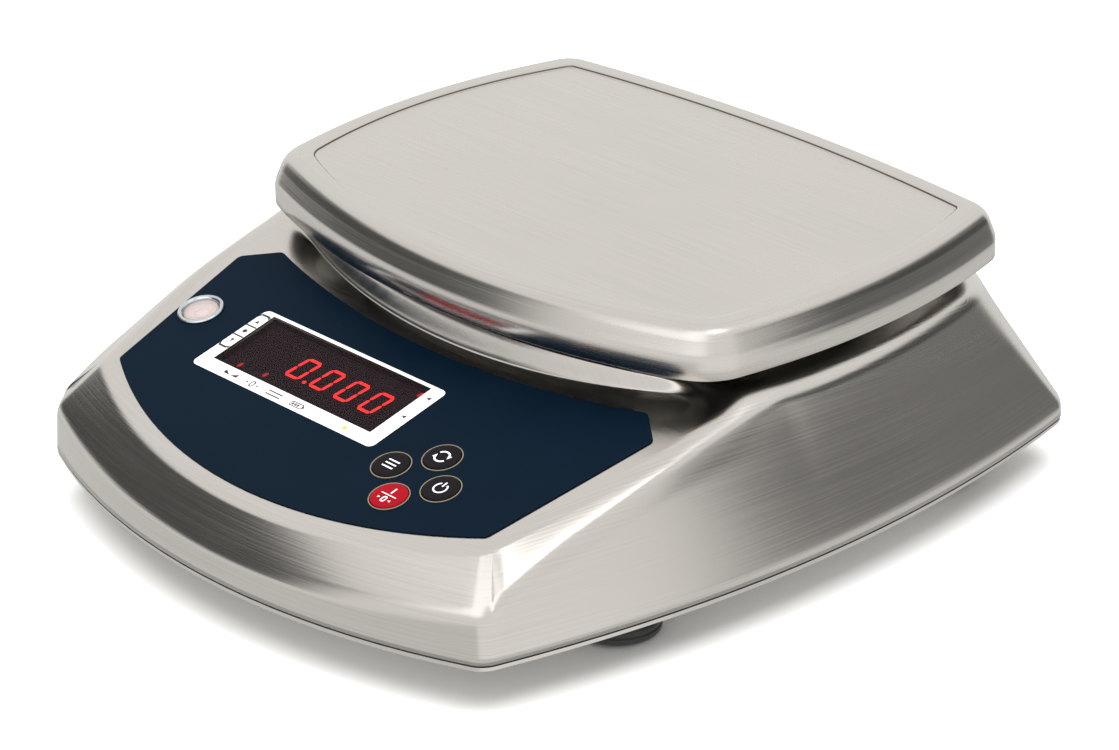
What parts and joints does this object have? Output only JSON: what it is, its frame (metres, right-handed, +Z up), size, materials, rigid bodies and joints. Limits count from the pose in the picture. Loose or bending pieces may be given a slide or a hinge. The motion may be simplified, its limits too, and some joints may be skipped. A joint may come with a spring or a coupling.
{
  "type": "bench scale",
  "caption": "Low splash-proof bench scale: steel housing with a sloped display and keypad panel, lift-off steel platter, load cell, battery and levelling feet.",
  "frame": {"origin": "on the table under the middle of the footprint", "axes": "+Z up, +Y from the display towards the back, +X to the right of someone reading the display"},
  "size_m": [0.2808, 0.3184, 0.1043],
  "materials": {
    "brushed_cover": "fine brushed stainless steel",
    "brushed_platter": "fine brushed stainless steel",
    "overlay_print": "printed polyester film, navy",
    "window_tint": "smoked clear window",
    "display_black": "moulded black",
    "led_red": "lit red segments",
    "circuit_board": "green solder mask",
    "brass_parts": "turned",
    "switch_black": "moulded",
    "key_red": "moulded red",
    "key_black": "moulded black",
    "bezel_grey": "moulded warm grey",
    "level_ring": "polished",
    "level_glass": "clear acrylic with a pale liquid",
    "cast_support": "cast, lightly blasted",
    "machined_aluminium": "milled and anodised clear",
    "zinc_steel": "zinc plated steel",
    "screw_steel": "stainless fasteners",
    "black_rubber": "moulded rubber",
    "foot_rubber": "moulded rubber",
    "ribbon_grey": "flat cable",
    "battery_case": "sealed battery case"
  },
  "bodies": {
    "root": {"top_cover": "brushed_cover", "cover_posts": "zinc_steel", "base_plate": "brushed_cover", "base_gasket": "black_rubber", "base_screws": "screw_steel", "keypad_overlay": "overlay_print", "display_window": "window_tint", "digit_display": "display_black", "digit_segments": "led_red", "display_board": "circuit_board", "board_standoffs": "brass_parts", "key_switches": "switch_black", "key_bezels": "bezel_grey", "level_cup": "level_ring", "level_lens": "level_glass", "post_seal": "black_rubber", "load_cell": "machined_aluminium", "cell_base_block": "zinc_steel", "cell_screws": "screw_steel", "overload_stop": "screw_steel", "overload_nut": "screw_steel", "main_board": "circuit_board", "main_board_standoffs": "brass_parts", "display_ribbon": "ribbon_grey", "battery": "battery_case", "battery_strap": "zinc_steel", "battery_strap_screws": "screw_steel", "charging_socket": "switch_black", "socket_nut": "screw_steel", "foot_bushings": "zinc_steel", "foot_lock_nuts": "zinc_steel"},
    "support": {"platter_support": "cast_support", "support_pads": "black_rubber", "support_post": "machined_aluminium", "support_screws": "screw_steel"},
    "platter": {"platter": "brushed_platter"},
    "key_zero": {"key_zero": "key_red"},
    "key_function": {"key_function": "key_black"},
    "key_mode": {"key_mode": "key_black"},
    "key_off": {"key_off": "key_black"},
    "socket_plug": {"socket_plug": "black_rubber"},
    "foot_pad_front_left": {"foot_pad_front_left": "foot_rubber"},
    "foot_stud_front_left": {"foot_stud_front_left": "zinc_steel"},
    "foot_pad_front_right": {"foot_pad_front_right": "foot_rubber"},
    "foot_stud_front_right": {"foot_stud_front_right": "zinc_steel"},
    "foot_pad_rear_left": {"foot_pad_rear_left": "foot_rubber"},
    "foot_stud_rear_left": {"foot_stud_rear_left": "zinc_steel"},
    "foot_pad_rear_right": {"foot_pad_rear_right": "foot_rubber"},
    "foot_stud_rear_right": {"foot_stud_rear_right": "zinc_steel"}
  },
  "joints": [
    {"name": "weigh_deflection", "type": "slide", "parent": "root", "child": "support", "axis": [0, 0, -1], "range_m": [0, 0.0005], "stiffness_N_per_m": 60000},
    {"name": "platter_lift", "type": "slide", "parent": "support", "child": "platter", "axis": [0, 0, 1], "range_m": [0, 0.08]},
    {"name": "key_zero_press", "type": "slide", "parent": "root", "child": "key_zero", "axis": [0, 0.2334, -0.9724], "range_m": [0, 0.0005], "stiffness_N_per_m": 1500},
    {"name": "key_function_press", "type": "slide", "parent": "root", "child": "key_function", "axis": [0, 0.2334, -0.9724], "range_m": [0, 0.0005], "stiffness_N_per_m": 1500},
    {"name": "key_mode_press", "type": "slide", "parent": "root", "child": "key_mode", "axis": [0, 0.2334, -0.9724], "range_m": [0, 0.0005], "stiffness_N_per_m": 1500},
    {"name": "key_off_press", "type": "slide", "parent": "root", "child": "key_off", "axis": [0, 0.2334, -0.9724], "range_m": [0, 0.0005], "stiffness_N_per_m": 1500},
    {"name": "socket_plug_pull", "type": "slide", "parent": "root", "child": "socket_plug", "axis": [0, 0, -1], "range_m": [0, 0.01]},
    {"name": "foot_height_front_left", "type": "slide", "parent": "root", "child": "foot_pad_front_left", "axis": [0, 0, -1], "range_m": [0, 0.006]},
    {"name": "foot_turn_front_left", "type": "hinge", "parent": "foot_pad_front_left", "child": "foot_stud_front_left", "pos_m": [-0.102, -0.06, 0.01], "axis": [0, 0, -1], "range_deg": [0, 1729]},
    {"name": "foot_height_front_right", "type": "slide", "parent": "root", "child": "foot_pad_front_right", "axis": [0, 0, -1], "range_m": [0, 0.006]},
    {"name": "foot_turn_front_right", "type": "hinge", "parent": "foot_pad_front_right", "child": "foot_stud_front_right", "pos_m": [0.102, -0.06, 0.01], "axis": [0, 0, -1], "range_deg": [0, 1729]},
    {"name": "foot_height_rear_left", "type": "slide", "parent": "root", "child": "foot_pad_rear_left", "axis": [0, 0, -1], "range_m": [0, 0.006]},
    {"name": "foot_turn_rear_left", "type": "hinge", "parent": "foot_pad_rear_left", "child": "foot_stud_rear_left", "pos_m": [-0.102, 0.1035, 0.01], "axis": [0, 0, -1], "range_deg": [0, 1729]},
    {"name": "foot_height_rear_right", "type": "slide", "parent": "root", "child": "foot_pad_rear_right", "axis": [0, 0, -1], "range_m": [0, 0.006]},
    {"name": "foot_turn_rear_right", "type": "hinge", "parent": "foot_pad_rear_right", "child": "foot_stud_rear_right", "pos_m": [0.102, 0.1035, 0.01], "axis": [0, 0, -1], "range_deg": [0, 1729]}
  ],
  "couplings": [
    {"joint": "foot_turn_front_left", "follows": "foot_height_front_left", "rad_per_m": 5026.5},
    {"joint": "foot_turn_front_right", "follows": "foot_height_front_right", "rad_per_m": 5026.5},
    {"joint": "foot_turn_rear_left", "follows": "foot_height_rear_left", "rad_per_m": 5026.5},
    {"joint": "foot_turn_rear_right", "follows": "foot_height_rear_right", "rad_per_m": 5026.5}
  ]
}
